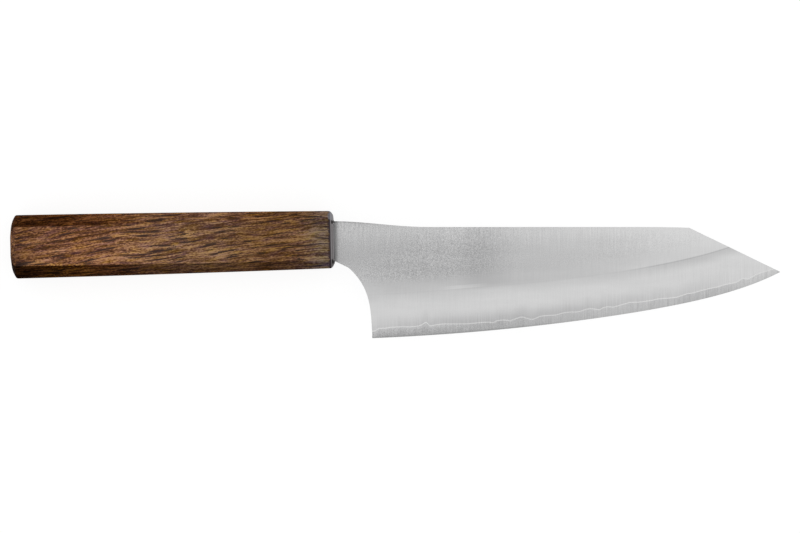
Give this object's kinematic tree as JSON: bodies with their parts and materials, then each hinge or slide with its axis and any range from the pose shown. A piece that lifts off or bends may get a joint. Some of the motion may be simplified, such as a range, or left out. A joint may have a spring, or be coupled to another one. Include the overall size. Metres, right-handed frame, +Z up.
{
  "type": "bunka kitchen knife",
  "caption": "Kitchen knife with a tall layered steel blade cut off straight to a low point, on an octagonal wooden handle.",
  "frame": {"origin": "centre of the footprint of the knife lying on its left side, on the surface under it", "axes": "+X from the butt to the tip, +Y from the cutting edge to the spine, +Z up, out of the blade's right face"},
  "size_m": [0.3204, 0.053, 0.0205],
  "materials": {
    "brown_oak": "open-pored, thinly oiled",
    "hard_core_steel": "ground across to the cutting edge",
    "stainless_cladding": "satin, ground across from spine to edge",
    "black_resin": "as cast"
  },
  "bodies": {
    "root": {"handle": "brown_oak", "core_steel": "hard_core_steel", "cladding_right": "stainless_cladding", "cladding_left": "stainless_cladding", "tang_resin": "black_resin"}
  },
  "joints": []
}
